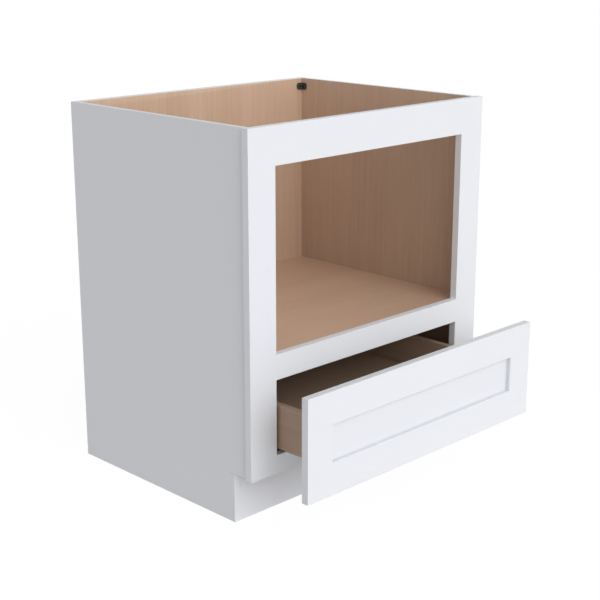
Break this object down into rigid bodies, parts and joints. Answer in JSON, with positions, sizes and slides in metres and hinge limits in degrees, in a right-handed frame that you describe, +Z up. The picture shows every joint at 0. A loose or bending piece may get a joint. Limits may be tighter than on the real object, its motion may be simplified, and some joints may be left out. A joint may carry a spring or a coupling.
{
  "type": "microwave base cabinet",
  "caption": "Face-framed base cabinet with an open bay for a built-in microwave, a recessed-panel drawer on concealed slides below it, and a toe space.",
  "frame": {"origin": "middle of the footprint on the floor, with the drawer drawn out by 149 mm as shown", "axes": "+X to the right seen from the room, +Y from the drawer towards the wall, +Z up"},
  "size_m": [0.762, 0.7796, 0.876],
  "materials": {
    "white_paint": "smooth satin white paint on wood and plywood",
    "maple_ply": "clear-coated maple veneer plywood, fine straight grain",
    "zinc_steel": "zinc-plated rolled steel",
    "grey_plastic": "moulded nylon, fine texture",
    "black_plastic": "moulded black nylon, fine texture",
    "orange_plastic": "moulded acetal",
    "clear_rubber": "soft translucent pad",
    "black_screw": "black phosphate steel"
  },
  "bodies": {
    "carcass": {"side_panel_left": "white_paint", "side_panel_right": "white_paint", "back_panel": "maple_ply", "microwave_deck": "maple_ply", "cabinet_floor": "maple_ply", "toe_board": "white_paint", "frame_top_rail": "white_paint", "frame_middle_rail": "white_paint", "frame_bottom_rail": "white_paint", "frame_stile_left": "white_paint", "frame_stile_right": "white_paint", "corner_rear_left_bracket": "black_plastic", "corner_front_left_bracket": "black_plastic", "slide_cabinet_member_left": "zinc_steel", "rear_slide_bracket_left": "grey_plastic", "corner_rear_right_bracket": "black_plastic", "corner_front_right_bracket": "black_plastic", "slide_cabinet_member_right": "zinc_steel", "rear_slide_bracket_right": "grey_plastic", "rear_left_bracket_cross_screw": "black_screw", "rear_left_bracket_side_screw": "black_screw", "front_left_bracket_cross_screw": "black_screw", "front_left_bracket_side_screw": "black_screw", "slide_foot_screw_left": "zinc_steel", "rear_bracket_screw_left": "zinc_steel", "rear_right_bracket_cross_screw": "black_screw", "rear_right_bracket_side_screw": "black_screw", "front_right_bracket_cross_screw": "black_screw", "front_right_bracket_side_screw": "black_screw", "slide_foot_screw_right": "zinc_steel", "rear_bracket_screw_right": "zinc_steel"},
    "drawer": {"front_bottom_rail": "white_paint", "front_top_rail": "white_paint", "front_panel": "white_paint", "front_stile_left": "white_paint", "front_stile_right": "white_paint", "bumper_left": "clear_rubber", "bumper_right": "clear_rubber", "drawer_side_left": "maple_ply", "drawer_side_right": "maple_ply", "drawer_box_front": "maple_ply", "drawer_box_back": "maple_ply", "drawer_bottom": "maple_ply", "slide_drawer_member_left": "zinc_steel", "slide_drawer_member_right": "zinc_steel", "locking_clip_left": "grey_plastic", "locking_clip_right": "grey_plastic", "drawer_front_screw_1": "zinc_steel", "drawer_front_screw_2": "zinc_steel", "drawer_front_screw_3": "zinc_steel", "drawer_front_screw_4": "zinc_steel"},
    "lower_cage_left": {"lower_roller_cage_left": "grey_plastic"},
    "middle_member_left": {"slide_middle_member_left": "zinc_steel"},
    "upper_cage_left": {"upper_roller_cage_left": "grey_plastic"},
    "lever_left": {"release_lever_left": "orange_plastic"},
    "lower_cage_right": {"lower_roller_cage_right": "grey_plastic"},
    "middle_member_right": {"slide_middle_member_right": "zinc_steel"},
    "upper_cage_right": {"upper_roller_cage_right": "grey_plastic"},
    "lever_right": {"release_lever_right": "orange_plastic"}
  },
  "joints": [
    {"name": "drawer_slide", "type": "slide", "parent": "carcass", "child": "drawer", "axis": [0, -1, 0], "range_m": [-0.149, 0.361]},
    {"name": "lower_cage_left_slide", "type": "slide", "parent": "carcass", "child": "lower_cage_left", "axis": [0, -1, 0], "range_m": [-0.03725, 0.09025]},
    {"name": "middle_member_left_slide", "type": "slide", "parent": "carcass", "child": "middle_member_left", "axis": [0, -1, 0], "range_m": [-0.0745, 0.1805]},
    {"name": "upper_cage_left_slide", "type": "slide", "parent": "carcass", "child": "upper_cage_left", "axis": [0, -1, 0], "range_m": [-0.11175, 0.27075]},
    {"name": "release_lever_left_turn", "type": "hinge", "parent": "drawer", "child": "lever_left", "pos_m": [-0.23625, -0.3135, 0.173], "axis": [0, 0, 1], "range_deg": [0, 12], "stiffness_Nm_per_rad": 0.05, "springref_deg": -11.46},
    {"name": "lower_cage_right_slide", "type": "slide", "parent": "carcass", "child": "lower_cage_right", "axis": [0, -1, 0], "range_m": [-0.03725, 0.09025]},
    {"name": "middle_member_right_slide", "type": "slide", "parent": "carcass", "child": "middle_member_right", "axis": [0, -1, 0], "range_m": [-0.0745, 0.1805]},
    {"name": "upper_cage_right_slide", "type": "slide", "parent": "carcass", "child": "upper_cage_right", "axis": [0, -1, 0], "range_m": [-0.11175, 0.27075]},
    {"name": "release_lever_right_turn", "type": "hinge", "parent": "drawer", "child": "lever_right", "pos_m": [0.23625, -0.3135, 0.173], "axis": [0, 0, -1], "range_deg": [0, 12], "stiffness_Nm_per_rad": 0.05, "springref_deg": -11.46}
  ],
  "couplings": [
    {"joint": "lower_cage_left_slide", "follows": "drawer_slide", "ratio": 0.25},
    {"joint": "middle_member_left_slide", "follows": "drawer_slide", "ratio": 0.5},
    {"joint": "upper_cage_left_slide", "follows": "drawer_slide", "ratio": 0.75},
    {"joint": "lower_cage_right_slide", "follows": "drawer_slide", "ratio": 0.25},
    {"joint": "middle_member_right_slide", "follows": "drawer_slide", "ratio": 0.5},
    {"joint": "upper_cage_right_slide", "follows": "drawer_slide", "ratio": 0.75}
  ]
}
